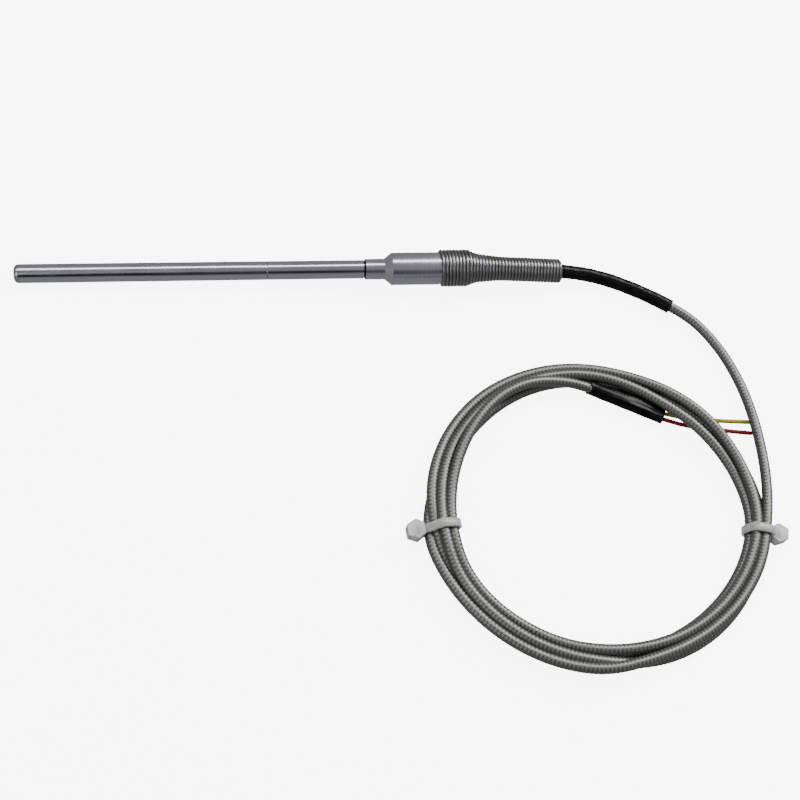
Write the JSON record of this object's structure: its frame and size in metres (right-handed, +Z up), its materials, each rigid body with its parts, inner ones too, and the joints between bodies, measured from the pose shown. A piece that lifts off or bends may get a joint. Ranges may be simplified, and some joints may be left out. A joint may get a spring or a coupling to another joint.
{
  "type": "thermocouple",
  "caption": "Metal-sheathed thermocouple probe with a stepped sleeve, strain-relief spring and a coiled, tied metal-braided lead ending in bare wires.",
  "frame": {"origin": "on the probe's axis where the sheath leaves the sleeve's neck", "axes": "+X along the probe from its tip towards the lead, as seen from above; +Z up from the surface the object lies on"},
  "size_m": [0.1954, 0.1168, 0.0103],
  "materials": {
    "polished_steel": "polished",
    "spring_steel": "drawn wire",
    "steel_braid": "fine woven",
    "black_shrink": "satin",
    "natural_nylon": "translucent",
    "yellow_insulation": "woven glass sleeve",
    "red_insulation": "woven glass sleeve",
    "element_alloy": "drawn wire",
    "element_alloy_dark": "drawn wire",
    "crimp_brass": "plain",
    "white_ceramic": "matt",
    "packed_powder": "powder",
    "potting": "matt"
  },
  "bodies": {
    "root": {"cable_tie_left": "natural_nylon", "cable_tie_right": "natural_nylon", "element_negative": "element_alloy_dark", "element_positive": "element_alloy", "front_conductor_negative": "element_alloy_dark", "front_conductor_positive": "element_alloy", "front_core_negative": "red_insulation", "front_core_positive": "yellow_insulation", "front_heat_shrink": "black_shrink", "hot_junction": "element_alloy", "insulator_bead_1": "white_ceramic", "insulator_bead_2": "white_ceramic", "insulator_bead_3": "white_ceramic", "insulator_bead_4": "white_ceramic", "insulator_bead_5": "white_ceramic", "insulator_bead_6": "white_ceramic", "lead_cable": "steel_braid", "lead_cable_end": "steel_braid", "lead_coil": "steel_braid", "rear_boot": "black_shrink", "red_wire_conductor": "element_alloy_dark", "red_wire_insulation": "red_insulation", "sheath_end_cap": "polished_steel", "sheath_seal": "potting", "sheath_tube": "polished_steel", "sleeve_potting": "potting", "splice_negative": "crimp_brass", "splice_positive": "crimp_brass", "strain_relief_spring": "spring_steel", "tip_filler": "packed_powder", "transition_sleeve": "polished_steel", "yellow_wire_conductor": "element_alloy", "yellow_wire_insulation": "yellow_insulation"}
  },
  "joints": []
}
